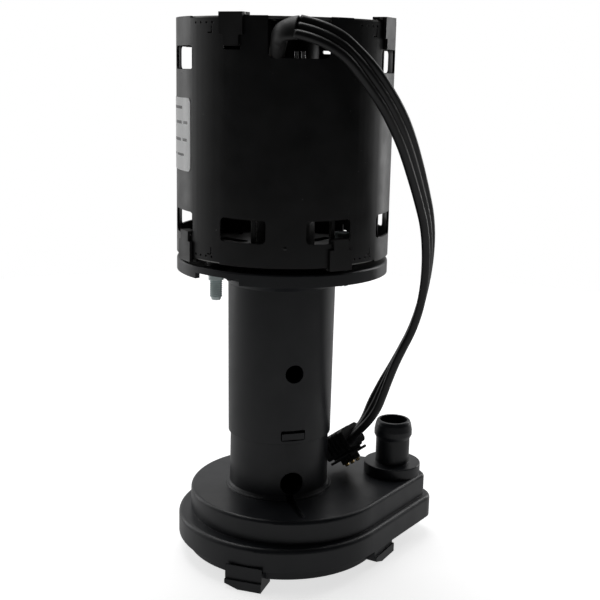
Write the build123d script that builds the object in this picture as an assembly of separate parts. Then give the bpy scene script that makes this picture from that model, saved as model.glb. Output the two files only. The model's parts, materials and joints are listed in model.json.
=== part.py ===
from build123d import *
from math import acos, atan2, cos, pi, radians, sin, sqrt, tan
import os

# Upright circulation pump: a ventilated shaded-pole motor stands on a moulded pedestal, and a long
# shaft runs down to an impeller in a two-tier volute with a twist-lock inlet cover under it.
# Frame: millimetres, +Z up, Z = 0 at the feet, the motor shaft on the Z axis, drain holes facing -Y
# and the outlet spigot towards +X. Azimuths are degrees from -Y, growing towards +X.

# ---- driving dimensions: motor -------------------------------------------------------------
SHELL_R = 42.0
SHELL_WALL = 0.9
SHELL_BOTTOM = 125.5
SHELL_TOP = 214.3
SHEET = 1.0                       # end shield sheet thickness
VENT_AZ = 8.6                     # azimuth of one vent; the rest follow every 45 degrees
VENT_WIDTH = 18.0
VENT_HEIGHT = 8.9
VENT_CORNER = 1.9
VENT_INSET = 13.2                 # from the bottom rim to the middle of its vents
TOP_VENT_INSET = 14.6             # from the top rim to the middle of its vents
TOP_VENT_HEIGHT = 8.5
TOP_TAB_AZ = -42.5
BOTTOM_TAB_AZ = 14.6
TAB_WIDE = 9.6
TAB_NARROW = 6.4
NOTCH_AZ = -8.8                   # cord notch in the top rim
NOTCH_WIDTH = 22.2
NOTCH_DEPTH = 14.3
STAKE_AZ = -60.0                  # shallow rim steps with stake marks, every 90 degrees
STACK_BOTTOM = 151.0
STACK_TOP = 187.0
BORE_R = 19.1
ROTOR_R = 18.7
SHAFT_R = 3.175
BEARING_FIT = 0.025
SHAFT_TOP = 208.0
SHAFT_BOTTOM = 9.2
UPPER_BEARING_Z = 204.0
LOWER_BEARING_Z = 134.5

# ---- driving dimensions: pedestal ----------------------------------------------------------
FLANGE_R = 42.0
FLANGE_TOP = 123.2
FLANGE_PLATE = 2.6
FLANGE_RIM = 4.9
HUB_R = 27.0
COLUMN_R = 21.6
SLEEVE_END_R = 21.1
COLUMN_JOINT = 50.5
SPIGOT_R = 19.0
STUD_AZ = -62.0
STUD_CIRCLE_R = 34.5
STUD_R = 2.4
STUD_SHANK_R = 2.0
STUD_TIP = 109.8

# ---- driving dimensions: volute and cover --------------------------------------------------
UPPER_CENTRE = (4.1, -1.6)
UPPER_R = 40.8
LOWER_CENTRE = (1.9, -2.8)
LOWER_R = 43.9
OUTLET = (50.9, 0.0)
UPPER_END_R = 13.0
LOWER_END_R = 15.6
UPPER_CORNER_R = 4.0              # tight end of the straight front wall, past the spigot
LOWER_CORNER_R = 9.0
CORNER_REACH = 4.5
SKIRT_BOTTOM = 7.8
LEDGE_TOP = 17.2
VOLUTE_TOP = 26.8
VOLUTE_WALL = 2.0
LOWER_COLUMN_R = 20.2
BOSS_R = 12.1
BOSS_TOP = 31.5
BARB_TOP = 50.2
BARB_TUBE_R = 7.2
BARB_RING_R = 8.05
BARB_BORE_R = 5.9
COVER_R = 40.3
COVER_BOTTOM = 3.0
INLET_R = 11.0
INLET_TOP = 8.4                   # stays below the end of the shaft
FOOT_LIP = 3.6
# azimuth of each foot's outer face, its distance out, width, shift along the face, whether it hooks up
FEET = (
    (-34.5, 44.9, 15.0, -0.9, True), (44.0, 42.4, 16.8, 9.2, False),
    (145.0, 44.9, 16.8, 0.0, False), (-140.0, 44.9, 16.8, 0.0, True),
)
BAYONET_AZ = (175.0, 265.0, 355.0)

# ---- driving dimensions: lead cord and plug ------------------------------------------------
CORD_R = 3.0
SLEEVE_R = 3.4
SLEEVE_ROUTE = [
    (-10.9, -32.6, 198.7), (-12.8, -39.5, 205.2), (-15.5, -46.25, 211.6), (-9.7, -49.7, 210.4),
]
SLEEVE_RADII = [18.0, 5.4]
CORD_ROUTE = [
    (-9.7, -49.7, 210.4), (0.4, -55.7, 208.3), (13.9, -56.3, 196.3), (28.9, -49.6, 178.6),
    (40.5, -40.2, 157.4), (50.5, -31.6, 133.9), (51.1, -23.9, 102.4), (41.7, -18.4, 78.7),
    (37.8, -10.5, 53.1), (32.7, 0.1, 44.6),
]
PLUG_CONTACT_WAY = (0.43, -0.50, -0.75)   # the contacts leave the plug at right angles to the cord
PLUG_LONG = 17.5
BOOT_LONG = 2.2
PLUG_HIGH = 9.0
PLUG_THICK = 9.2
PIN_PLACES = (5.2, 9.0, 12.8)     # contacts along the plug, from the cord's end

os.makedirs("parts", exist_ok=True)


# ---- helpers -------------------------------------------------------------------------------
def at(r, az, z=0.0, centre=(0.0, 0.0)):
    """Point at a radius and azimuth about a vertical axis."""
    return Vector(centre[0] + r * sin(radians(az)), centre[1] - r * cos(radians(az)), z)


def facing(r, az, z, centre=(0.0, 0.0)):
    """Plane at a radius that looks outward, its x along the tangent and its y up."""
    out = (sin(radians(az)), -cos(radians(az)), 0)
    return Plane(origin=at(r, az, z, centre), x_dir=(cos(radians(az)), sin(radians(az)), 0), z_dir=out)


def disc(r, z0, z1, centre=(0.0, 0.0)):
    return Pos(centre[0], centre[1], z0) * Cylinder(r, z1 - z0, align=(Align.CENTER, Align.CENTER, Align.MIN))


def ring(r_out, r_in, z0, z1, centre=(0.0, 0.0)):
    return disc(r_out, z0, z1, centre) - disc(r_in, z0 - 1, z1 + 1, centre)


def sector(r_out, r_in, z0, z1, az, width, centre=(0.0, 0.0)):
    """Piece of a ring, width degrees wide about an azimuth."""
    start = Vector(centre[0], centre[1], z0)
    reach = r_out * 1.2 / cos(radians(width / 2))
    corners = [start, start + at(reach, az - width / 2), start + at(reach, az + width / 2)]
    wedge = extrude(make_face(Polyline(*corners, close=True)), amount=z1 - z0, dir=(0, 0, 1))
    return ring(r_out, r_in, z0, z1, centre) & wedge


def radial_bar(width, z0, z1, r0, r1, az, centre=(0.0, 0.0)):
    """Straight bar that lies along a radius."""
    face = facing(r0, az, (z0 + z1) / 2, centre) * Rectangle(width, z1 - z0)
    return extrude(face, amount=r1 - r0)


def window(width, height, corner, z, az, r0=36.0, r1=46.0):
    """Rounded radial cutter."""
    return extrude(facing(r0, az, z) * RectangleRounded(width, height, corner), amount=r1 - r0)


def turned(points):
    """Solid of revolution about Z from (r, z) points."""
    outline = make_face(Polyline(*[(r, 0, z) for r, z in points], close=True))
    return revolve(outline, Axis.Z)


def teardrop(big, big_r, small, small_r, z):
    """Face around two circles and the two straight sides that join them."""
    way = atan2(small[1] - big[1], small[0] - big[0])
    gap = sqrt((small[0] - big[0]) ** 2 + (small[1] - big[1]) ** 2)
    spread = acos((big_r - small_r) / gap)

    def rim(centre, r, angle):
        return (centre[0] + r * cos(angle), centre[1] + r * sin(angle), z)

    left = Line(rim(big, big_r, way + spread), rim(small, small_r, way + spread))
    nose = ThreePointArc(left @ 1, rim(small, small_r, way), rim(small, small_r, way - spread))
    right = Line(nose @ 1, rim(big, big_r, way - spread))
    back = ThreePointArc(right @ 1, rim(big, big_r, way + pi), left @ 0)
    return make_face([left, nose, right, back])


def prism(big, big_r, small, small_r, z0, z1):
    return extrude(teardrop(big, big_r, small, small_r, z0), amount=z1 - z0, dir=(0, 0, 1))


def casing(big, big_r, end_r, corner_r, z0, z1):
    """Volute tier: the teardrop round the outlet, with its front wall run on to a tighter corner."""
    way = atan2(OUTLET[1] - big[1], OUTLET[0] - big[0])
    gap = sqrt((OUTLET[0] - big[0]) ** 2 + (OUTLET[1] - big[1]) ** 2)
    normal = way - acos((big_r - end_r) / gap)
    out, reach = end_r - corner_r, CORNER_REACH
    corner = (OUTLET[0] + out * cos(normal) - reach * sin(normal),
              OUTLET[1] + out * sin(normal) + reach * cos(normal))
    return prism(big, big_r, OUTLET, end_r, z0, z1) + prism(OUTLET, end_r, corner, corner_r, z0, z1)


def soften_top(solid, z, radius):
    """Fillet every edge that lies in the plane at height z."""
    edges = [e for e in solid.edges() if abs(e.center().Z - z) < 1e-4 and e.bounding_box().size.Z < 1e-4]
    return fillet(edges, radius)


def corner_radii(points):
    """Radius at each inner corner: 0.45 of the shorter run over the tangent of half the turn."""
    radii = []
    for a, b, c in zip(points, points[1:], points[2:]):
        before, after = Vector(*b) - Vector(*a), Vector(*c) - Vector(*b)
        turn = radians(before.get_angle(after))
        radii.append(0.45 * min(before.length, after.length) / tan(turn / 2))
    return radii


def swept_tube(points, radius, label, radii=None):
    radii = radii or corner_radii(points)
    path = FilletPolyline(*points, radius=radii)
    section = Plane(origin=path @ 0, z_dir=path % 0) * Circle(radius)
    tube = sweep(section, path=path)
    expected = pi * radius**2 * path.length
    print(label, "length", round(path.length, 1), "radii", [round(r, 1) for r in radii],
          "volume / section x length", round(tube.volume / expected, 4))
    return tube


def save(name, shape):
    export_step(shape, f"parts/{name}.step")


def save_group(name, solids):
    save(name, Compound(children=list(solids)))


def vent_azimuths():
    return [VENT_AZ + 45 * k for k in range(-2, 6)]


def tab_azimuths(first):
    return [first + 90 * k for k in range(4)]


# ---- motor housing -------------------------------------------------------------------------
def motor_shell():
    inner = SHELL_R - SHELL_WALL
    shell = ring(SHELL_R, inner, SHELL_BOTTOM, SHELL_TOP)
    for az in vent_azimuths():
        shell -= window(VENT_WIDTH, VENT_HEIGHT, VENT_CORNER, SHELL_BOTTOM + VENT_INSET, az)
        if abs(sin(radians(az))) > 0.7:
            shell -= window(VENT_WIDTH, TOP_VENT_HEIGHT, VENT_CORNER, SHELL_TOP - TOP_VENT_INSET, az)
    for az in tab_azimuths(TOP_TAB_AZ):
        shell -= window(TAB_NARROW + 0.6, 2.4, 0.5, SHELL_TOP - 10.5, az)
    shell -= window(NOTCH_WIDTH, 2 * NOTCH_DEPTH, 2.2, SHELL_TOP, NOTCH_AZ)
    for az in tab_azimuths(STAKE_AZ):
        for rim, way in ((SHELL_TOP, -1), (SHELL_BOTTOM, 1)):
            shell -= sector(SHELL_R + 1, inner - 1, rim - 0.7, rim + 0.7, az, 22)
            for step in (-6, -2, 2, 6):
                dimple = facing(SHELL_R - 0.45, az + step, rim + way * 2.4) * Circle(0.45)
                shell -= extrude(dimple, amount=1)
    for az in tab_azimuths(35.5):
        for rim, way in ((SHELL_TOP, -1), (SHELL_BOTTOM, 1)):
            z = rim + way * 4.6
            shell -= window(0.45, 2.8, 0.2, z, az)
            shell -= window(2.2, 0.45, 0.2, z - 1.3, az - 1.2)
    weld = Pos(*at(SHELL_R - 0.5, -14.2, 132.9)) * Sphere(0.85)
    return shell + (weld - disc(SHELL_R - 0.4, 130, 136))


def shield_tab(az, rim, way):
    """Sheet tab that folds over a rim, steps down in width and hooks into the shell."""
    near, far = SHELL_R + 0.12, SHELL_R + 0.12 + SHEET
    over = rim + way * 0.15
    top = over + way * SHEET
    root = rim - way * 1.1
    wide_end = rim - way * 6.6
    tip = rim - way * 10.4

    def span(a, b):
        return min(a, b), max(a, b)

    tab = radial_bar(TAB_WIDE, *span(root, top), 37.6, 38.8, az)
    tab += radial_bar(TAB_WIDE, *span(over, top), 37.6, far, az)
    tab += radial_bar(TAB_WIDE, *span(top, wide_end), near, far, az)
    tab += radial_bar(TAB_NARROW, *span(wide_end, tip), near, far, az)
    tab += radial_bar(TAB_NARROW, *span(tip, tip + way * SHEET), 39.4, far, az)
    return tab


def end_shield(rim, way, tab_az, hub_z):
    """Pressed end plate with a bearing pot, cooling slots and four folded tabs."""

    def band(r_out, r_in, a, b):
        return ring(r_out, r_in, min(a, b), max(a, b))

    face = rim - way * 0.1
    back = face - way * SHEET
    floor = hub_z + way * 4.8
    mouth = hub_z - way * 6.5
    shield = band(SHELL_R - SHELL_WALL - 0.05, 12.5, face, back)
    for k in range(8):
        az = tab_az + 22.5 + 45 * k
        flat = Plane(origin=at(26, az, min(face, back) - 1), x_dir=at(1, az), z_dir=(0, 0, 1))
        shield -= extrude(flat * SlotOverall(15, 5), amount=4)
    shield += band(16.0, 12.5, face, back - way * 0.6)
    shield += band(12.8, 10.5, face, mouth)
    shield += band(12.8, 5.2, floor, floor + way * 1.2)
    for az in tab_azimuths(tab_az):
        shield += shield_tab(az, rim, way)
    return shield


def top_end_shield():
    return end_shield(SHELL_TOP, 1, TOP_TAB_AZ, UPPER_BEARING_Z) + disc(6.0, 208.9, 210.0)


def bottom_end_shield():
    shield = end_shield(SHELL_BOTTOM, -1, BOTTOM_TAB_AZ, LOWER_BEARING_Z)
    for az in (STUD_AZ, STUD_AZ + 180):
        hole = at(STUD_CIRCLE_R, az)
        shield -= disc(STUD_SHANK_R + 0.05, 120, 130, (hole.X, hole.Y))
    return shield


def bearing(z):
    """Self-aligning sintered bearing with its oiled bore."""
    ball = Pos(0, 0, z) * Sphere(7.6)
    ball &= disc(9, z - 4.6, z + 4.6)
    return ball - disc(SHAFT_R + BEARING_FIT, z - 6, z + 6)


def oil_wick(z):
    """Felt ring that feeds oil to the bearing."""
    return ring(10.4, 7.8, z - 3.2, z + 3.2)


def bearing_retainer(z, way):
    """Thin sprung cap that holds a bearing in its pot."""
    edge = z + way * 6.5
    cap = turned([(12.6, edge), (12.6, edge + way * 0.5), (10.0, edge + way * 0.5), (6.2, edge - way * 1.2),
                  (6.2, edge - way * 1.7), (6.6, edge - way * 1.7), (10.2, edge)])
    for k in range(6):
        cap -= radial_bar(1.2, edge - 3, edge + 3, 5.0, 9.5, 60 * k)
    return cap


# ---- stator --------------------------------------------------------------------------------
def stator_core():
    yoke = ring(SHELL_R - SHELL_WALL - 0.02, 33.0, STACK_BOTTOM, STACK_TOP)
    for az in tab_azimuths(0):
        yoke += radial_bar(13.0, STACK_BOTTOM, STACK_TOP, 20.0, 34.0, az)
        yoke += sector(22.4, BORE_R, STACK_BOTTOM, STACK_TOP, az, 70)
    for az in tab_azimuths(0):
        yoke -= radial_bar(2.2, STACK_BOTTOM - 1, STACK_TOP + 1, 18.0, 21.7, az + 19.5)
    return yoke - disc(BORE_R, STACK_BOTTOM - 1, STACK_TOP + 1)


def stator_coils():
    """One wound coil round each pole."""
    coils = []
    height = STACK_TOP - STACK_BOTTOM
    for az in tab_azimuths(0):
        plane = facing(23.0, az, (STACK_TOP + STACK_BOTTOM) / 2)
        loop = RectangleRounded(13.6 + 12, height + 0.6 + 13, 6.3) - RectangleRounded(13.6, height + 0.6, 0.6)
        coils.append(extrude(plane * loop, amount=7.0))
    return coils


def shading_rings():
    """Copper loop in the slot of each pole."""
    rings = []
    height = STACK_TOP - STACK_BOTTOM
    for az in tab_azimuths(0):
        plane = facing(20.0, az + 28.2, (STACK_TOP + STACK_BOTTOM) / 2)
        loop = Rectangle(7.6, height + 3.6) - Rectangle(5.4, height + 0.8)
        bar = extrude(plane * loop, amount=1.2)
        rings.append(bar - sector(23.5, BORE_R - 1, STACK_BOTTOM, STACK_TOP, az + 28, 13))
    return rings


def winding_guard(z_ring, z_end):
    """Insulating ring on thin posts that keeps the coils off the end shield."""
    z0, z1 = min(z_ring, z_ring + 1.6), max(z_ring, z_ring + 1.6)
    guard = ring(38.5, 35.4, z0, z1)
    for k in range(8):
        az = -31.6 + 45 * k
        guard += radial_bar(1.4, min(z0, z_end), max(z1, z_end), 36.6, 38.4, az)
    return guard


# ---- pedestal ------------------------------------------------------------------------------
def pedestal():
    under = FLANGE_TOP - FLANGE_PLATE
    rim_bottom = FLANGE_TOP - FLANGE_RIM
    bore = SPIGOT_R + 0.15
    body = disc(FLANGE_R, under, FLANGE_TOP)
    body = soften_top(body, FLANGE_TOP, 0.7)
    body += ring(FLANGE_R, FLANGE_R - 1.9, rim_bottom, under)
    body += turned([(bore, COLUMN_JOINT), (SLEEVE_END_R, COLUMN_JOINT), (COLUMN_R, 112.6),
                    (23.2, 114.4), (25.6, 115.9), (HUB_R, 116.2), (HUB_R, under), (bore, under)])
    for k in range(12):
        az = STUD_AZ + 15 + 30 * k
        body += radial_bar(1.5, rim_bottom + 0.6, under, HUB_R - 1, FLANGE_R - 1.5, az)
    body += ring(33.0, 30.8, FLANGE_TOP - 0.2, SHELL_BOTTOM + 0.1)
    for az in (STUD_AZ, STUD_AZ + 180):
        spot = at(STUD_CIRCLE_R, az)
        body += disc(3.6, under - 0.1, SHELL_BOTTOM + 0.1, (spot.X, spot.Y))
    for az in (STUD_AZ + 90, STUD_AZ - 90):
        spot = at(STUD_CIRCLE_R - 1.5, az)
        body += disc(4.6, rim_bottom + 0.6, under, (spot.X, spot.Y))
    body -= disc(bore, COLUMN_JOINT - 1, SHELL_BOTTOM + 2)
    for az in (STUD_AZ, STUD_AZ + 180):
        spot = at(STUD_CIRCLE_R, az)
        body -= disc(STUD_SHANK_R + 0.2, 110, 130, (spot.X, spot.Y))
        body -= disc(3.9, 110, under, (spot.X, spot.Y))
    for az in (STUD_AZ + 90, STUD_AZ - 90):
        spot = at(STUD_CIRCLE_R - 1.5, az)
        body -= disc(2.0, 110, 130, (spot.X, spot.Y))
    body -= sector(FLANGE_R + 2, FLANGE_R - 4, rim_bottom - 1, under, -52.0, 29)
    body -= window(7.3, 7.3, 3.649, 79.5, 0.0, 15, 30)
    body -= window(9.9, 4.2, 0.7, 54.0, 0.0, 15, 30)
    body += ring(14.0, 8.0, FLANGE_TOP - 4.0, FLANGE_TOP - 2.4)
    for k in range(4):
        body += radial_bar(3.0, FLANGE_TOP - 4.0, FLANGE_TOP - 2.4, 13.5, bore + 0.4, 45 + 90 * k)
    return body


def mounting_studs():
    """Two studs riveted into the bottom shield, each with a plain collar and a thread below it."""
    studs = []
    for az in (STUD_AZ, STUD_AZ + 180):
        spot = at(STUD_CIRCLE_R, az)
        pitch = 0.794
        crest, root = STUD_R, STUD_R - 0.42
        under = FLANGE_TOP - FLANGE_PLATE
        points = [(0, 129.2), (3.6, 129.2), (3.6, SHELL_BOTTOM + 1.3), (STUD_SHANK_R, SHELL_BOTTOM + 1.3),
                  (STUD_SHANK_R, under), (2.9, under), (2.9, 117.6), (root, 117.2)]
        z = 117.2
        while z - pitch > STUD_TIP + 0.4:
            points += [(root, z - 0.06), (crest, z - pitch / 2 + 0.07), (crest, z - pitch / 2 - 0.07)]
            z -= pitch
        points += [(root, z), (root - 0.3, STUD_TIP), (0, STUD_TIP)]
        studs.append(Pos(spot.X, spot.Y, 0) * turned(points))
    return studs


def flange_screws():
    """Two pan-head screws that hold the pedestal to the motor."""
    screws = []
    for az in (STUD_AZ + 90, STUD_AZ - 90):
        spot = at(STUD_CIRCLE_R - 1.5, az)
        head_top = FLANGE_TOP - FLANGE_RIM + 0.6
        profile = turned([(0, 116.2), (2.4, 116.2), (3.5, 117.2), (3.5, head_top), (1.95, head_top),
                          (1.95, SHELL_BOTTOM + 0.1), (0, SHELL_BOTTOM + 0.1)])
        slot = Pos(0, 0, 116.2) * Box(1.0, 6.0, 1.6)
        cross = Pos(0, 0, 116.2) * Box(6.0, 1.0, 1.6)
        screws.append(Pos(spot.X, spot.Y, 0) * (profile - slot - cross))
    return screws


# ---- volute --------------------------------------------------------------------------------
def volute_cover():
    lower = casing(LOWER_CENTRE, LOWER_R, LOWER_END_R, LOWER_CORNER_R, SKIRT_BOTTOM, LEDGE_TOP)
    lower = soften_top(lower, LEDGE_TOP, 1.9)
    upper = casing(UPPER_CENTRE, UPPER_R, UPPER_END_R, UPPER_CORNER_R, LEDGE_TOP - 1, VOLUTE_TOP)
    upper = soften_top(upper, VOLUTE_TOP, 1.5)
    body = lower + upper
    body += disc(BOSS_R, VOLUTE_TOP - 1, BOSS_TOP, OUTLET)
    body = soften_top(body, BOSS_TOP, 0.5)
    barb = turned([(0, BOSS_TOP - 1), (BARB_TUBE_R, BOSS_TOP - 1), (BARB_TUBE_R, BARB_TOP - 8.0),
                   (BARB_RING_R - 0.25, BARB_TOP - 6.8),
                   (BARB_RING_R, BARB_TOP - 6.2), (BARB_RING_R, BARB_TOP - 4.2),
                   (BARB_TUBE_R + 0.35, BARB_TOP - 1.6), (BARB_TUBE_R - 0.1, BARB_TOP - 0.4),
                   (BARB_TUBE_R - 0.5, BARB_TOP), (0, BARB_TOP)])
    body += Pos(OUTLET[0], OUTLET[1], 0) * barb
    step = COLUMN_JOINT - 0.2
    column = turned([(0, VOLUTE_TOP - 1), (LOWER_COLUMN_R + 0.25, VOLUTE_TOP - 1), (LOWER_COLUMN_R, step),
                     (SPIGOT_R, step), (SPIGOT_R, 57.6), (SPIGOT_R - 0.6, 58.4), (0, 58.4)])
    bead = turned([(0, VOLUTE_TOP - 0.5), (21.9, VOLUTE_TOP - 0.5), (21.9, VOLUTE_TOP + 0.3),
                   (21.6, VOLUTE_TOP + 0.7), (21.1, VOLUTE_TOP + 0.8),
                   (20.3, VOLUTE_TOP + 1.9), (0, VOLUTE_TOP + 1.9)])
    body += column + bead
    body -= disc(17.0, VOLUTE_TOP + 0.6, 60)
    body -= disc(5.5, VOLUTE_TOP - 4, VOLUTE_TOP + 4)
    body -= casing(LOWER_CENTRE, LOWER_R - VOLUTE_WALL, LOWER_END_R - VOLUTE_WALL,
                   LOWER_CORNER_R - VOLUTE_WALL, SKIRT_BOTTOM + 2, LEDGE_TOP - 1.8)
    body -= disc(LOWER_R - VOLUTE_WALL, SKIRT_BOTTOM - 1, SKIRT_BOTTOM + 2.1, LOWER_CENTRE)
    body -= prism(UPPER_CENTRE, UPPER_R - VOLUTE_WALL, OUTLET, UPPER_END_R - VOLUTE_WALL,
                  LEDGE_TOP - 2, VOLUTE_TOP - VOLUTE_WALL)
    body -= disc(BARB_BORE_R, VOLUTE_TOP - 4, BARB_TOP + 1, OUTLET)
    for az in BAYONET_AZ:
        body += sector(LOWER_R - 1, COVER_R + 0.4, SKIRT_BOTTOM, SKIRT_BOTTOM + 1.6, az, 20, LOWER_CENTRE)
    body -= window(9.4, 9.4, 4.699, 33.5, 0.0, 14, 30)
    groove = Plane(origin=(-0.9, -18, VOLUTE_TOP + 2), x_dir=(1, 0, 0), z_dir=(0, 0, -1))
    channel = make_face(Polyline((-1.6, -1), (1.6, -1), (1.1, 20), (-1.1, 20), close=True))
    body -= extrude(groove * channel, amount=3.2)
    tongue = radial_bar(9.2, 52.2, 54.9, SPIGOT_R - 1, SLEEVE_END_R - 0.25, 0.0)
    return body + tongue


def foot(az, out, width, shift, hooked):
    """Lug with a lip along its lower edge, a ramp under its leading end and, on request, a top hook."""
    tangent = at(1, az + 90)
    centre = (LOWER_CENTRE[0] + tangent.X * shift, LOWER_CENTRE[1] + tangent.Y * shift)
    lug = radial_bar(width, 0.0, SKIRT_BOTTOM - 0.4, 35.0, out, az, centre)
    lug += radial_bar(width, 0.0, FOOT_LIP, 35.0, out + 0.9, az, centre)
    if hooked:
        lug += radial_bar(width, SKIRT_BOTTOM - 1.0, SKIRT_BOTTOM + 1.6, LOWER_R + 0.35, out, az, centre)
    across = Plane(origin=at(34.0, az, 0.0, centre), x_dir=tangent, z_dir=at(1, az))
    start = -width / 2
    ramp = Polyline((start - 1, -1), (start - 1, 1.9), (start, 1.9), (start + 5.5, 0), (start + 5.5, -1),
                    close=True)
    return lug - extrude(across * make_face(ramp), amount=14)


def inlet_cover():
    """Twist-lock plate with the suction hole, three bayonet tabs and four lugs that are also the feet."""
    cover = disc(COVER_R, COVER_BOTTOM, SKIRT_BOTTOM - 0.4, LOWER_CENTRE)
    low_edges = [e for e in cover.edges() if abs(e.center().Z - COVER_BOTTOM) < 1e-4]
    cover = fillet(low_edges, 0.8)
    cover += ring(39.6, 37.8, SKIRT_BOTTOM - 0.5, SKIRT_BOTTOM + 3.6, LOWER_CENTRE)
    for az in BAYONET_AZ:
        cover += sector(41.5, 39.0, SKIRT_BOTTOM + 2.0, SKIRT_BOTTOM + 3.6, az, 18, LOWER_CENTRE)
    cover -= ring(36.0, 16.0, COVER_BOTTOM - 1, COVER_BOTTOM + 0.9, LOWER_CENTRE)
    for k in range(8):
        az = 10 + 45 * k
        cover += radial_bar(1.4, COVER_BOTTOM + 0.1, COVER_BOTTOM + 1.2, 15.0, 37.0, az, LOWER_CENTRE)
    cover += ring(INLET_R + 2.0, INLET_R - 0.5, COVER_BOTTOM + 1, INLET_TOP)
    cover -= disc(INLET_R, COVER_BOTTOM - 2, SKIRT_BOTTOM + 4)
    for az, out, width, shift, hooked in FEET:
        cover += foot(az, out, width, shift, hooked)
    return cover


# ---- rotor ---------------------------------------------------------------------------------
def rotor_core():
    return ring(ROTOR_R, SHAFT_R, STACK_BOTTOM, STACK_TOP)


def rotor_end_rings():
    """Cast end rings, each with short fins."""
    rings = []
    for z0, way in ((STACK_TOP, 1), (STACK_BOTTOM, -1)):
        z_a, z_b = min(z0, z0 + way * 4), max(z0, z0 + way * 4)
        solid = ring(ROTOR_R - 0.3, 12.4, z_a, z_b)
        for k in range(8):
            f_a, f_b = min(z0 + way * 3.5, z0 + way * 6.5), max(z0 + way * 3.5, z0 + way * 6.5)
            solid += radial_bar(1.8, f_a, f_b, 13.2, 17.6, 45 * k)
        rings.append(solid)
    return rings


def motor_shaft():
    shaft = disc(SHAFT_R, SHAFT_BOTTOM, SHAFT_TOP)
    ends = [e for e in shaft.edges() if e.geom_type == GeomType.CIRCLE]
    return chamfer(ends, 0.4)


def thrust_washers():
    """Washers that take up end play on the inner side of each bearing."""
    low = LOWER_BEARING_Z + 4.7
    high = UPPER_BEARING_Z - 4.7
    places = ((low + 0.1, low + 0.9), (low + 0.9, low + 1.7),
              (high - 0.9, high - 0.1), (high - 1.7, high - 0.9))
    return [ring(5.4, SHAFT_R, z0, z1) for z0, z1 in places]


def cooling_fan():
    fan = ring(6.5, SHAFT_R, STACK_TOP + 0.1, 196.4) + ring(23.5, 6.0, 195.0, 196.4)
    for k in range(9):
        fan += radial_bar(1.2, 196.0, 200.0, 14.0, 23.0, 40 * k)
    return fan


def slinger():
    """Rubber disc that throws climbing water off the shaft."""
    return turned([(SHAFT_R, 98.0), (5.6, 98.0), (6.0, 100.2), (11.5, 99.4), (12.0, 100.4),
                   (6.0, 102.2), (5.6, 104.0), (SHAFT_R, 104.0)])


def impeller():
    wheel = ring(6.2, SHAFT_R, 10.2, 23.6) + ring(28.0, 5.5, 19.4, 21.0)
    for k in range(6):
        az = 60 * k
        inner, middle, outer = at(7.5, az, 11.0), at(18.0, az - 26, 11.0), at(27.2, az - 62, 11.0)
        spine = ThreePointArc(inner, middle, outer)
        section = Plane(origin=spine @ 0, x_dir=(0, 0, 1), z_dir=spine % 0)
        blade = sweep(section * Pos(4.3, 0, 0) * Rectangle(8.6, 1.6), path=spine)
        wheel += blade
    return wheel - disc(SHAFT_R, 5, 30)


def impeller_clip():
    clip = ring(4.9, SHAFT_R, 9.4, 10.2)
    for k in range(4):
        clip -= radial_bar(0.8, 9.0, 10.6, 2.0, 4.2, 90 * k)
    return clip


# ---- lead cord and plug --------------------------------------------------------------------
def lead_splices():
    """Crimped splices of the leads just inside the cord notch."""
    splices = []
    for az in (-9.6, -5.6):
        spot = at(36.3, az)
        splices.append(disc(0.75, 197.4, 202.4, (spot.X, spot.Y)) - disc(0.4, 197.0, 200.8, (spot.X, spot.Y)))
    return splices


def plug_plane(along=0.0, down=0.0):
    """Plane at a distance along the plug, z away from the cord and x the way the contacts point."""
    axis = (Vector(*CORD_ROUTE[-1]) - Vector(*CORD_ROUTE[-2])).normalized()
    contacts = Vector(*PLUG_CONTACT_WAY)
    contacts = (contacts - axis * contacts.dot(axis)).normalized()
    origin = Vector(*CORD_ROUTE[-1]) + axis * along + contacts * down
    return Plane(origin=origin, x_dir=contacts, z_dir=axis)


def contact_plane(along, down):
    """Plane across one contact, z the way it points."""
    plane = plug_plane(along, down)
    return Plane(origin=plane.origin, x_dir=plane.z_dir, z_dir=plane.x_dir)


def plug_boot():
    """Rounded plate that the cord runs into."""
    return extrude(plug_plane() * RectangleRounded(PLUG_HIGH, PLUG_THICK + 1.4, 1.8), amount=BOOT_LONG)


def plug_housing():
    """Right-angle connector body with grip ribs, a flange and a shroud round each contact."""
    section = plug_plane(BOOT_LONG, 0.6) * RectangleRounded(PLUG_HIGH + 0.4, PLUG_THICK, 1.2)
    body = extrude(section, amount=PLUG_LONG - BOOT_LONG)
    for along in (4.6, 7.4, 10.2, 13.0):
        rib = plug_plane(along, -0.2) * RectangleRounded(PLUG_HIGH, PLUG_THICK + 1.0, 1.4)
        body += extrude(rib, amount=1.2)
    flange = contact_plane(9.0, 6.1) * RectangleRounded(15.4, PLUG_THICK + 1.2, 1.0)
    body += extrude(flange, amount=1.1)
    collar = contact_plane(9.0, 4.0) * RectangleRounded(12.6, PLUG_THICK - 2.0, 1.0)
    body += extrude(collar, amount=3.0)
    for along in PIN_PLACES:
        body += extrude(contact_plane(along, 5.0) * Circle(1.75), amount=4.4)
    for along in PIN_PLACES:
        body -= extrude(contact_plane(along, 1.0) * Circle(0.95), amount=12)
    return body


def plug_contacts():
    pins = []
    for along in PIN_PLACES:
        pin = extrude(contact_plane(along, 1.2) * Circle(0.93), amount=9.4)
        pins.append(chamfer(pin.edges().filter_by(GeomType.CIRCLE), 0.3))
    return pins


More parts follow.
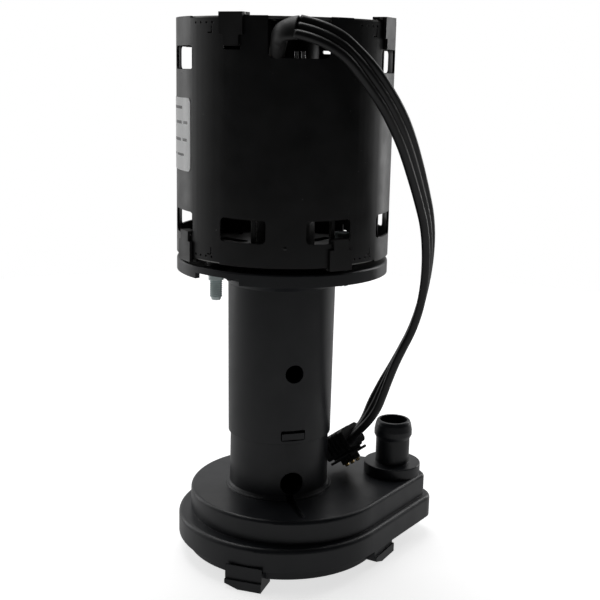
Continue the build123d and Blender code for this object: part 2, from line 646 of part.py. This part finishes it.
def build():
    save("motor_shell", motor_shell())
    save("top_end_shield", top_end_shield())
    save("bottom_end_shield", bottom_end_shield())
    save("upper_bearing", bearing(UPPER_BEARING_Z))
    save("lower_bearing", bearing(LOWER_BEARING_Z))
    save("upper_oil_wick", oil_wick(UPPER_BEARING_Z))
    save("lower_oil_wick", oil_wick(LOWER_BEARING_Z))
    save("upper_bearing_retainer", bearing_retainer(UPPER_BEARING_Z, -1))
    save("lower_bearing_retainer", bearing_retainer(LOWER_BEARING_Z, 1))
    save("stator_core", stator_core())
    save_group("stator_coils", stator_coils())
    save_group("shading_rings", shading_rings())
    save("lower_winding_guard", winding_guard(142.2, SHELL_BOTTOM + 1.1))
    save("upper_winding_guard", winding_guard(190.8, SHELL_TOP - 1.1))
    label = ring(SHELL_R + 0.18, SHELL_R, 150, 195) & window(36.8, 27.0, 2.0, 171.6, -97.0, 20, 50)
    save("rating_label", label)
    save("pedestal", pedestal())
    save_group("mounting_studs", mounting_studs())
    save_group("flange_screws", flange_screws())
    save("volute_cover", volute_cover())
    save("inlet_cover", inlet_cover())
    save("rotor_core", rotor_core())
    save_group("rotor_end_rings", rotor_end_rings())
    save("motor_shaft", motor_shaft())
    save_group("thrust_washers", thrust_washers())
    save("cooling_fan", cooling_fan())
    save("slinger", slinger())
    save("impeller", impeller())
    save("impeller_clip", impeller_clip())
    save_group("lead_splices", lead_splices())
    save("cord_sleeve", swept_tube(SLEEVE_ROUTE, SLEEVE_R, "sleeve", SLEEVE_RADII))
    save("lead_cord", swept_tube(CORD_ROUTE, CORD_R, "lead cord"))
    save("plug_boot", plug_boot())
    save("plug_housing", plug_housing())
    save_group("plug_contacts", plug_contacts())


build()
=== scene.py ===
import bpy
import bmesh
import json
from math import cos, pi, radians, sin, tau
from mathutils import Matrix, Vector


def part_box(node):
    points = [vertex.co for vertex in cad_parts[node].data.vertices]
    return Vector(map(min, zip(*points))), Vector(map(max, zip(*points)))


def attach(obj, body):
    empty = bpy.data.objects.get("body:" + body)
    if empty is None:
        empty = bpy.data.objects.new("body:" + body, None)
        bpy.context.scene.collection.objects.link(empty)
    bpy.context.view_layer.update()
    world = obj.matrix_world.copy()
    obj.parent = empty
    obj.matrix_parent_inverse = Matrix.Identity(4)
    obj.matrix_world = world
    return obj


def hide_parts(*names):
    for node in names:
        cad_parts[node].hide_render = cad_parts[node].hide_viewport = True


# Looks for the upright circulation pump. Metres, same frame as the CAD: +Z up, floor at Z = 0, the motor
# shaft on the Z axis, drain holes facing -Y, outlet spigot towards +X.

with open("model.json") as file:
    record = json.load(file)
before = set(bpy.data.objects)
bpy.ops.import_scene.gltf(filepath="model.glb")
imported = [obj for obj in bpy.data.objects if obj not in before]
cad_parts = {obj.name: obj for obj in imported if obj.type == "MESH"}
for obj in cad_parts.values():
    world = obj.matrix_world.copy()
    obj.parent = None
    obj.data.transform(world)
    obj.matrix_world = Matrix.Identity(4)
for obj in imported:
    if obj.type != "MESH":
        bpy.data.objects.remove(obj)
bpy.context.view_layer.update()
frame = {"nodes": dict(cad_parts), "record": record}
nodes = frame["nodes"]

MM = 0.001

# ---- sizes from the frame --------------------------------------------------------------------
shell_low, shell_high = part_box("motor_shell")
SHELL_R = shell_high.y
SHELL_TOP = shell_high.z
SHELL_BOTTOM = shell_low.z
label_low, label_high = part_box("rating_label")
LABEL_MIDDLE = (label_low.y + label_high.y) / 2

# ---- lead cord and its sleeve ----------------------------------------------------------------
CORD_ROUTE = [                       # from the sleeve, out over the rim and down to the plug
    (-0.0097, -0.0497, 0.2104), (0.0004, -0.0557, 0.2083), (0.0139, -0.0563, 0.1963),
    (0.0289, -0.0496, 0.1786), (0.0405, -0.0402, 0.1574), (0.0505, -0.0316, 0.1339),
    (0.0511, -0.0239, 0.1024), (0.0417, -0.0184, 0.0787), (0.0355, -0.0095, 0.0540),
    (0.0327, 0.0001, 0.0446),
]
CONDUCTOR_R = 1.65 * MM
CONDUCTOR_GAP = 3.25 * MM            # centre to centre
CORD_TWIST = [38, 26, 6, -4, -7, -8, -1, -2, 15, -40]     # degrees, spread evenly along the cord
GROOVE_ANGLE = 30                    # degrees from a conductor's side to where it meets the next one
ARC_STEPS = 7

SLEEVE_ROUTE = [                     # from inside the notch to the start of the cord
    (-0.0128, -0.0330, 0.1990), (-0.0138, -0.0392, 0.2035), (-0.0148, -0.04625, 0.2096),
    (-0.0097, -0.0497, 0.2101),
]
# along the sleeve, spread evenly: turn in degrees, half width and half thickness
SLEEVE_TWIST = [88, 70, 50, 38]
SLEEVE_WIDE = [3.2 * MM, 3.6 * MM, 4.2 * MM, 4.75 * MM]
SLEEVE_THICK = [2.8 * MM, 2.8 * MM, 2.6 * MM, 2.3 * MM]
SLEEVE_WALL = 0.55 * MM
SLEEVE_SIDES = 40

# ---- rating label ----------------------------------------------------------------------------
# plain bars in the place of print: height, thickness, and (start, end) from the label's middle, in mm
LABEL_ROWS = [
    (181.5, 1.1, [(-11.5, 2.0), (4.5, 12.0)]),
    (176.0, 1.1, [(-16.2, -12.6), (-10.8, -3.0), (0.5, 11.0)]),
    (169.6, 1.1, [(-15.6, -11.9), (-9.8, 4.0), (6.5, 12.5)]),
    (164.0, 0.9, [(-13.0, -4.5), (-2.0, 8.0)]),
]

# ---- camera and stage ------------------------------------------------------------------------
CAMERA_PLACE = (-0.11177, -0.40303, 0.19708)
CAMERA_HEADING, CAMERA_PITCH, CAMERA_ROLL = radians(-16.525), radians(-12.433), radians(1.226)
CAMERA_LENS = 63.4                   # mm, on a frame 36 mm wide
LIGHT_TARGET = (0, 0, 0.11)
FLOOR_R = 0.6
PAPER = (0.80, 0.80, 0.80)
PAPER_PATCH = (0.82, 0.82, 0.82)
PAPER_BOUNCE = (0.30, 0.30, 0.30)    # colour of the paper to every ray but the camera's
PAPER_GLOW = 0.24
PAPER_GLOW_SEEN = 0.46               # added to the glow where the camera sees it


# ---- mesh helpers ----------------------------------------------------------------------------
def link_to_scene(name, data):
    """New object with this data, in the scene."""
    made = bpy.data.objects.new(name, data)
    bpy.context.scene.collection.objects.link(made)
    return made


def add_vinyl(name, bm, slot):
    """Turns a bmesh into a smooth vinyl piece that stays with the housing."""
    bmesh.ops.recalc_face_normals(bm, faces=bm.faces)
    mesh = bpy.data.meshes.new(name)
    bm.to_mesh(mesh)
    bm.free()
    mesh.materials.append(MATERIALS[slot])
    for face in mesh.polygons:
        face.use_smooth = True
    piece = link_to_scene(name, mesh)
    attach(piece, "housing")
    return piece


def route_points(points):
    """Points along the smooth curve that a list of control points makes."""
    curve = bpy.data.curves.new("route", "CURVE")
    curve.dimensions = "3D"
    curve.resolution_u = 24
    spline = curve.splines.new("NURBS")
    spline.points.add(len(points) - 1)
    for control, place in zip(spline.points, points):
        control.co = (*place, 1.0)
    spline.order_u = 3
    spline.use_endpoint_u = True
    holder = bpy.data.objects.new("route", curve)
    mesh = bpy.data.meshes.new_from_object(holder)
    found = [vertex.co.copy() for vertex in mesh.vertices]
    bpy.data.objects.remove(holder)
    bpy.data.meshes.remove(mesh)
    return found


def eased(values, share):
    """Value at a share, 0 to 1, of an evenly spaced list, eased between its entries."""
    place = share * (len(values) - 1)
    step = min(int(place), len(values) - 2)
    part = place - step
    part = part * part * (3 - 2 * part)
    return values[step] * (1 - part) + values[step + 1] * part


def stations(points, twists):
    """Place, width direction and thickness direction along a path. A turn of 0 faces the shaft axis."""
    found = []
    last = len(points) - 1
    for index, place in enumerate(points):
        ahead, behind = points[min(index + 1, last)], points[max(index - 1, 0)]
        along = (ahead - behind).normalized()
        outward = Vector((place.x, place.y, 0)).normalized()
        outward = (outward - along * outward.dot(along)).normalized()
        across = along.cross(outward)
        turn = radians(eased(twists, index / last))
        width = across * cos(turn) + outward * sin(turn)
        found.append((place, width, width.cross(along)))
    return found


def loft(bm, rings, closed):
    """Quads between rings of equal point counts, with an end face on the first and last when closed."""
    made = [[bm.verts.new(point) for point in ring] for ring in rings]
    for before, after in zip(made, made[1:]):
        for k in range(len(before)):
            follow = (k + 1) % len(before)
            bm.faces.new((before[k], before[follow], after[follow], after[k]))
    if closed:
        bm.faces.new(list(reversed(made[0])))
        bm.faces.new(made[-1])


# ---- material helpers ------------------------------------------------------------------------
class Shader:
    """Short ways to add the nodes that the materials below share."""

    def __init__(self, name):
        self.material = bpy.data.materials.new(name)
        self.material.use_nodes = True
        self.tree = self.material.node_tree
        self.surface = self.tree.nodes["Principled BSDF"]
        self.coords = self.add("ShaderNodeTexCoord").outputs["Object"]

    def add(self, kind, **inputs):
        node = self.tree.nodes.new(kind)
        for name, value in inputs.items():
            node.inputs[name].default_value = value
        return node

    def link(self, output, node_input):
        self.tree.links.new(output, node_input)

    def set(self, **values):
        for name, value in values.items():
            self.surface.inputs[name.replace("_", " ")].default_value = value

    def noise(self, scale, detail=3.0, stretch=(1, 1, 1)):
        node = self.add("ShaderNodeTexNoise", Scale=scale, Detail=detail)
        if stretch == (1, 1, 1):
            self.link(self.coords, node.inputs["Vector"])
        else:
            mapping = self.add("ShaderNodeMapping", Scale=stretch)
            self.link(self.coords, mapping.inputs["Vector"])
            self.link(mapping.outputs["Vector"], node.inputs["Vector"])
        return node.outputs["Fac"]

    def math(self, operation, a, b=None):
        node = self.tree.nodes.new("ShaderNodeMath")
        node.operation = operation
        for slot, value in enumerate((a, b)):
            if value is None:
                continue
            if isinstance(value, (int, float)):
                node.inputs[slot].default_value = value
            else:
                self.link(value, node.inputs[slot])
        return node.outputs["Value"]

    def spread(self, value, low, high, start=0.3, end=0.7):
        """Maps a value between start and end, where most of a noise lies, to a range."""
        limits = {"From Min": start, "From Max": end, "To Min": low, "To Max": high}
        node = self.add("ShaderNodeMapRange", **limits)
        self.link(value, node.inputs["Value"])
        return node.outputs["Result"]

    def mix(self, factor, first, second):
        node = self.tree.nodes.new("ShaderNodeMix")
        node.data_type = "RGBA"
        self.link(factor, node.inputs["Factor"])
        for socket, value in ((node.inputs["A"], first), (node.inputs["B"], second)):
            if isinstance(value, tuple):
                socket.default_value = (*value, 1.0)
            else:
                self.link(value, socket)
        return node.outputs["Result"]

    def axes(self):
        node = self.add("ShaderNodeSeparateXYZ")
        self.link(self.coords, node.inputs["Vector"])
        return node.outputs["X"], node.outputs["Y"], node.outputs["Z"]

    def radius(self):
        """Distance from the Z axis."""
        x, y, _ = self.axes()
        squares = self.math("ADD", self.math("MULTIPLY", x, x), self.math("MULTIPLY", y, y))
        return self.math("SQRT", squares)

    def bands(self, place, pitch):
        """Even bands, 0 to 1, along a distance."""
        wave = self.math("SINE", self.math("MULTIPLY", place, tau / pitch))
        return self.spread(wave, 0, 1, -1, 1)

    def within(self, place, middle, half):
        """1 where a place lies less than half from the middle."""
        return self.math("LESS_THAN", self.math("ABSOLUTE", self.math("SUBTRACT", place, middle)), half)

    def relief(self, heights, edge):
        """Bumps from (height, strength, distance) entries, over softened edges."""
        bevel = self.add("ShaderNodeBevel", Radius=edge)
        bevel.samples = 4
        normal = bevel.outputs["Normal"]
        for height, strength, distance in heights:
            bump = self.add("ShaderNodeBump", Strength=strength, Distance=distance)
            self.link(height, bump.inputs["Height"])
            self.link(normal, bump.inputs["Normal"])
            normal = bump.outputs["Normal"]
        self.link(normal, self.surface.inputs["Normal"])


def moulded(name, dark, light, rough):
    """Injection-moulded plastic: fine spark-eroded grain, faint flow marks and uneven sheen."""
    made = Shader(name)
    flow = made.noise(38, 4, (1, 1, 0.25))
    made.link(made.mix(made.spread(flow, 0, 1), dark, light), made.surface.inputs["Base Color"])
    haze = made.noise(90, 5)
    made.link(made.spread(haze, rough - 0.05, rough + 0.06), made.surface.inputs["Roughness"])
    grain, waves = made.noise(1500, 2), made.noise(55, 2)
    made.relief([(grain, 0.35, 0.03 * MM), (waves, 0.2, 0.12 * MM)], 0.3 * MM)
    return made.material


def painted(name, dark, light, rough, bare=None):
    """Satin enamel on steel: orange peel, specks of dust in the film, and bare sheet edges on request."""
    made = Shader(name)
    speck = made.spread(made.noise(700, 1), 0, 1, 0.78, 0.84)
    colour = made.mix(made.spread(made.noise(60, 4), 0, 1), dark, light)
    colour = made.mix(speck, colour, (0.09, 0.09, 0.09))
    rough_map = made.spread(made.noise(120, 4), rough - 0.05, rough + 0.07)
    if bare:
        mask = bare(made)
        colour = made.mix(mask, colour, (0.36, 0.36, 0.35))
        made.link(mask, made.surface.inputs["Metallic"])
    made.link(colour, made.surface.inputs["Base Color"])
    made.link(rough_map, made.surface.inputs["Roughness"])
    peel, waves = made.noise(480, 2), made.noise(70, 2)
    made.relief([(peel, 0.25, 0.03 * MM), (waves, 0.1, 0.06 * MM)], 0.2 * MM)
    return made.material


def metal(name, colour, dull, rough, stretch=(1, 1, 1), scale=600, depth=0.02 * MM, metallic=1.0,
          edge=0.15 * MM):
    """Bare or plated metal with fine streaks and dull patches."""
    made = Shader(name)
    patch = made.noise(220, 5)
    made.link(made.mix(made.spread(patch, 0, 1), colour, dull), made.surface.inputs["Base Color"])
    made.set(Metallic=metallic)
    streaks = made.noise(scale, 4, stretch)
    made.link(made.spread(streaks, rough - 0.08, rough + 0.1), made.surface.inputs["Roughness"])
    made.relief([(streaks, 0.3, depth)], edge)
    return made.material


def laminated(name, colour):
    """Stack of thin steel sheets, seen as fine level lines."""
    made = Shader(name)
    _, _, z = made.axes()
    level = made.bands(z, 0.65 * MM)
    dark = tuple(0.45 * part for part in colour)
    made.link(made.mix(level, dark, colour), made.surface.inputs["Base Color"])
    made.set(Metallic=1.0)
    made.link(made.spread(made.noise(300, 4), 0.38, 0.55), made.surface.inputs["Roughness"])
    made.relief([(level, 0.6, 0.08 * MM)], 0.1 * MM)
    return made.material


def wound(name):
    """Enamelled copper wire laid in turns."""
    made = Shader(name)
    level = made.bands(made.radius(), 0.55 * MM)
    made.link(made.mix(level, (0.16, 0.05, 0.02), (0.5, 0.2, 0.08)), made.surface.inputs["Base Color"])
    made.set(Metallic=0.85, Coat_Weight=0.6)
    made.link(made.spread(made.noise(200, 3), 0.25, 0.4), made.surface.inputs["Roughness"])
    made.relief([(level, 0.8, 0.15 * MM)], 0.1 * MM)
    return made.material


def felt(name, dark, light):
    """Oil-soaked wool felt."""
    made = Shader(name)
    fibre = made.noise(1800, 6)
    made.link(made.mix(made.spread(fibre, 0, 1), dark, light), made.surface.inputs["Base Color"])
    made.set(Roughness=0.95, Sheen_Weight=0.4)
    made.relief([(fibre, 0.8, 0.2 * MM)], 0.1 * MM)
    return made.material


def vinyl(name, dark, light, rough):
    """Extruded soft vinyl with faint handling scuffs."""
    made = Shader(name)
    tint = made.spread(made.noise(70, 4), 0, 1)
    made.link(made.mix(tint, dark, light), made.surface.inputs["Base Color"])
    scuff = made.noise(260, 5)
    made.link(made.spread(scuff, rough - 0.05, rough + 0.08), made.surface.inputs["Roughness"])
    made.set(Specular_IOR_Level=0.5)
    made.relief([(made.noise(900, 2), 0.2, 0.03 * MM), (scuff, 0.12, 0.05 * MM)], 0.2 * MM)
    return made.material


def label_film(name):
    """Printed film: pale silver-grey, a faint weave of print dots, and rows of plain bars for print."""
    made = Shader(name)
    dots = made.noise(1600, 1)
    _, across, up = made.axes()
    print_mask = 0.0
    for height, thick, spans in LABEL_ROWS:
        level = made.within(up, height * MM, thick * MM / 2)
        for start, end in spans:
            bar = made.within(across, LABEL_MIDDLE + (start + end) / 2 * MM, (end - start) * MM / 2)
            print_mask = made.math("MAXIMUM", print_mask, made.math("MULTIPLY", level, bar))
    film = made.mix(made.spread(dots, 0, 1), (0.88, 0.89, 0.89), (0.93, 0.94, 0.94))
    made.link(made.mix(print_mask, film, (0.05, 0.05, 0.055)), made.surface.inputs["Base Color"])
    made.link(made.spread(made.noise(150, 3), 0.34, 0.46), made.surface.inputs["Roughness"])
    made.set(Coat_Weight=0.2)
    made.relief([(dots, 0.1, 0.02 * MM)], 0.1 * MM)
    return made.material


def bare_shield_rim(made):
    """Mask of the sheared sheet edge of an end shield, which the paint leaves bare."""
    _, _, z = made.axes()
    outer = made.math("GREATER_THAN", made.radius(), SHELL_R - 1.3 * MM)
    inside = made.math("LESS_THAN", made.radius(), SHELL_R - 0.2 * MM)
    high = made.math("GREATER_THAN", z, SHELL_TOP - 1.2 * MM)
    low = made.math("LESS_THAN", z, SHELL_BOTTOM + 1.2 * MM)
    return made.math("MULTIPLY", made.math("MULTIPLY", outer, inside), made.math("MAXIMUM", high, low))


MATERIALS = {
    "shell_paint": painted("shell_enamel", (0.0085, 0.0088, 0.0095), (0.0125, 0.0128, 0.0135), 0.36),
    "shield_paint": painted("shield_enamel", (0.010, 0.010, 0.0105), (0.016, 0.016, 0.0165), 0.42,
                            bare_shield_rim),
    "bronze": metal("oiled_bronze", (0.42, 0.25, 0.11), (0.26, 0.15, 0.07), 0.42),
    "felt": felt("oil_felt", (0.22, 0.18, 0.12), (0.45, 0.38, 0.28)),
    "spring_steel": metal("spring_steel", (0.5, 0.5, 0.51), (0.33, 0.33, 0.35), 0.3, stretch=(1, 1, 8)),
    "lamination": laminated("lamination_steel", (0.22, 0.22, 0.23)),
    "copper": wound("enamelled_copper"),
    "guard_plastic": moulded("guard_plastic", (0.003, 0.003, 0.003), (0.006, 0.006, 0.006), 0.6),
    "label": label_film("label_film"),
    "pump_plastic": moulded("pump_plastic", (0.0115, 0.0128, 0.0155), (0.0165, 0.018, 0.0215), 0.36),
    "zinc_steel": metal("zinc_plate", (0.86, 0.95, 0.94), (0.66, 0.76, 0.76), 0.34,
                        scale=900, depth=0.01 * MM, metallic=0.3, edge=0.03 * MM),
    "cast_aluminium": metal("cast_aluminium", (0.66, 0.67, 0.68), (0.45, 0.46, 0.47), 0.5,
                            scale=900, depth=0.08 * MM),
    "shaft_steel": metal("ground_steel", (0.58, 0.58, 0.6), (0.45, 0.45, 0.47), 0.2,
                         stretch=(1, 1, 30), scale=300, depth=0.01 * MM),
    "washer_plastic": moulded("washer_phenolic", (0.16, 0.05, 0.025), (0.24, 0.09, 0.04), 0.5),
    "slinger_rubber": vinyl("slinger_rubber", (0.012, 0.012, 0.012), (0.02, 0.02, 0.02), 0.6),
    "tinned": metal("tinned_splice", (0.78, 0.78, 0.78), (0.6, 0.6, 0.6), 0.25),
    "sleeve_vinyl": vinyl("sleeve_vinyl", (0.006, 0.006, 0.006), (0.010, 0.010, 0.010), 0.42),
    "cord_vinyl": vinyl("cord_vinyl", (0.006, 0.006, 0.0065), (0.010, 0.010, 0.011), 0.36),
    "plug_plastic": moulded("plug_plastic", (0.009, 0.009, 0.0095), (0.016, 0.016, 0.017), 0.4),
    "contact_brass": metal("contact_brass", (0.74, 0.55, 0.25), (0.6, 0.42, 0.18), 0.28),
}

for part in frame["record"]["subparts"]:
    paint = MATERIALS[part["material_slot"]]
    mesh = nodes[part["node"]].data
    mesh.materials.clear()
    mesh.materials.append(paint)


# ---- the flat three-conductor cord and its sleeve ---------------------------------------------
def ribbon_section():
    """Outline of three round conductors joined side by side, as (across, up) pairs."""
    groove = GROOVE_ANGLE
    arcs = [(CONDUCTOR_GAP, groove - 180, 180 - groove, 2 * ARC_STEPS),
            (0.0, groove, 180 - groove, ARC_STEPS),
            (-CONDUCTOR_GAP, groove, 360 - groove, 2 * ARC_STEPS),
            (0.0, 180 + groove, 360 - groove, ARC_STEPS)]
    outline = []
    for centre, start, end, count in arcs:
        for k in range(count + 1):
            angle = radians(start + (end - start) * k / count)
            outline.append((centre + CONDUCTOR_R * cos(angle), CONDUCTOR_R * sin(angle)))
    return outline


def lead_ribbon():
    """The flat cord, swept along its route."""
    path = route_points(CORD_ROUTE)
    outline = ribbon_section()
    rings = [[place + width * across + up * rise for across, rise in outline]
             for place, width, up in stations(path, CORD_TWIST)]
    bm = bmesh.new()
    loft(bm, rings, closed=True)
    piece = add_vinyl("lead_ribbon", bm, "cord_vinyl")
    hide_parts("lead_cord")


def oval(place, width, up, wide, thick):
    """Ring of points with these half sizes, square to the path."""
    return [place + width * wide * cos(tau * k / SLEEVE_SIDES) + up * thick * sin(tau * k / SLEEVE_SIDES)
            for k in range(SLEEVE_SIDES)]


def sleeve_skin():
    """Oval vinyl sleeve that opens towards the cord, with a real wall."""
    path = route_points(SLEEVE_ROUTE)
    last = len(path) - 1
    outer, inner = [], []
    for index, (place, width, up) in enumerate(stations(path, SLEEVE_TWIST)):
        wide, thick = eased(SLEEVE_WIDE, index / last), eased(SLEEVE_THICK, index / last)
        outer.append(oval(place, width, up, wide, thick))
        inner.append(oval(place, width, up, wide - SLEEVE_WALL, thick - SLEEVE_WALL))
    bm = bmesh.new()
    loft(bm, outer + inner[::-1], closed=False)
    bmesh.ops.bridge_loops(bm, edges=[edge for edge in bm.edges if edge.is_boundary])
    piece = add_vinyl("sleeve_skin", bm, "sleeve_vinyl")
    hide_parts("cord_sleeve")


lead_ribbon()
sleeve_skin()


# ---- camera, light and floor -----------------------------------------------------------------
def add_camera():
    data = bpy.data.cameras.new("camera")
    data.lens = CAMERA_LENS
    data.sensor_width = 36.0
    data.clip_start, data.clip_end = 0.01, 20
    camera = link_to_scene("camera", data)
    turn = (Matrix.Rotation(CAMERA_HEADING, 4, "Z") @ Matrix.Rotation(pi / 2 + CAMERA_PITCH, 4, "X")
            @ Matrix.Rotation(CAMERA_ROLL, 4, "Z"))
    camera.matrix_world = Matrix.Translation(CAMERA_PLACE) @ turn
    bpy.context.scene.camera = camera


def add_softbox(name, place, size, power):
    data = bpy.data.lights.new(name, "AREA")
    data.shape = "RECTANGLE"
    data.size, data.size_y = size
    data.energy = power
    lamp = link_to_scene(name, data)
    lamp.location = place
    lamp.rotation_mode = "QUATERNION"
    lamp.rotation_quaternion = (Vector(LIGHT_TARGET) - Vector(place)).to_track_quat("-Z", "Y")


def add_floor():
    """White paper that the camera sees bright, and that throws less light up on the object."""
    made = Shader("floor_paper")
    seen = made.tree.nodes.new("ShaderNodeLightPath").outputs["Is Camera Ray"]
    paper = made.mix(made.spread(made.noise(3, 2), 0, 1), PAPER, PAPER_PATCH)
    made.link(made.mix(seen, PAPER_BOUNCE, paper), made.surface.inputs["Base Color"])
    made.set(Roughness=0.9, Emission_Color=(1, 1, 1, 1))
    glow = made.math("ADD", PAPER_GLOW, made.math("MULTIPLY", seen, PAPER_GLOW_SEEN))
    made.link(glow, made.surface.inputs["Emission Strength"])
    bm = bmesh.new()
    bmesh.ops.create_circle(bm, cap_ends=True, segments=96, radius=FLOOR_R)
    mesh = bpy.data.meshes.new("floor")
    bm.to_mesh(mesh)
    bm.free()
    mesh.materials.append(made.material)
    link_to_scene("floor", mesh)


def add_world():
    """White to the camera. Its light is bright behind the object and dim in front, as in a dark room."""
    world = bpy.data.worlds.new("studio")
    world.use_nodes = True
    bpy.context.scene.world = world
    tree = world.node_tree
    background = tree.nodes["Background"]
    coords = tree.nodes.new("ShaderNodeTexCoord")
    split = tree.nodes.new("ShaderNodeSeparateXYZ")
    ramp = tree.nodes.new("ShaderNodeMapRange")
    ramp.interpolation_type = "SMOOTHSTEP"
    for name, value in {"From Min": -0.35, "From Max": 0.8, "To Min": 0.020, "To Max": 0.50}.items():
        ramp.inputs[name].default_value = value
    sight = tree.nodes.new("ShaderNodeLightPath")
    brightest = tree.nodes.new("ShaderNodeMath")
    brightest.operation = "MAXIMUM"
    tree.links.new(coords.outputs["Generated"], split.inputs["Vector"])
    tree.links.new(split.outputs["Y"], ramp.inputs["Value"])
    tree.links.new(ramp.outputs["Result"], brightest.inputs[0])
    tree.links.new(sight.outputs["Is Camera Ray"], brightest.inputs[1])
    tree.links.new(brightest.outputs["Value"], background.inputs["Strength"])
    background.inputs["Color"].default_value = (1, 1, 1, 1)


add_camera()
add_softbox("left_box", place=(-0.58, 0.66, 0.35), size=(0.22, 0.9), power=0.9)
add_softbox("right_box", place=(0.8, 0.35, 0.4), size=(0.2, 0.9), power=1.5)
add_softbox("top_box", place=(0.0, 0.35, 0.95), size=(0.7, 0.5), power=3.5)
add_floor()
add_world()
bpy.context.scene.view_settings.view_transform = "Standard"
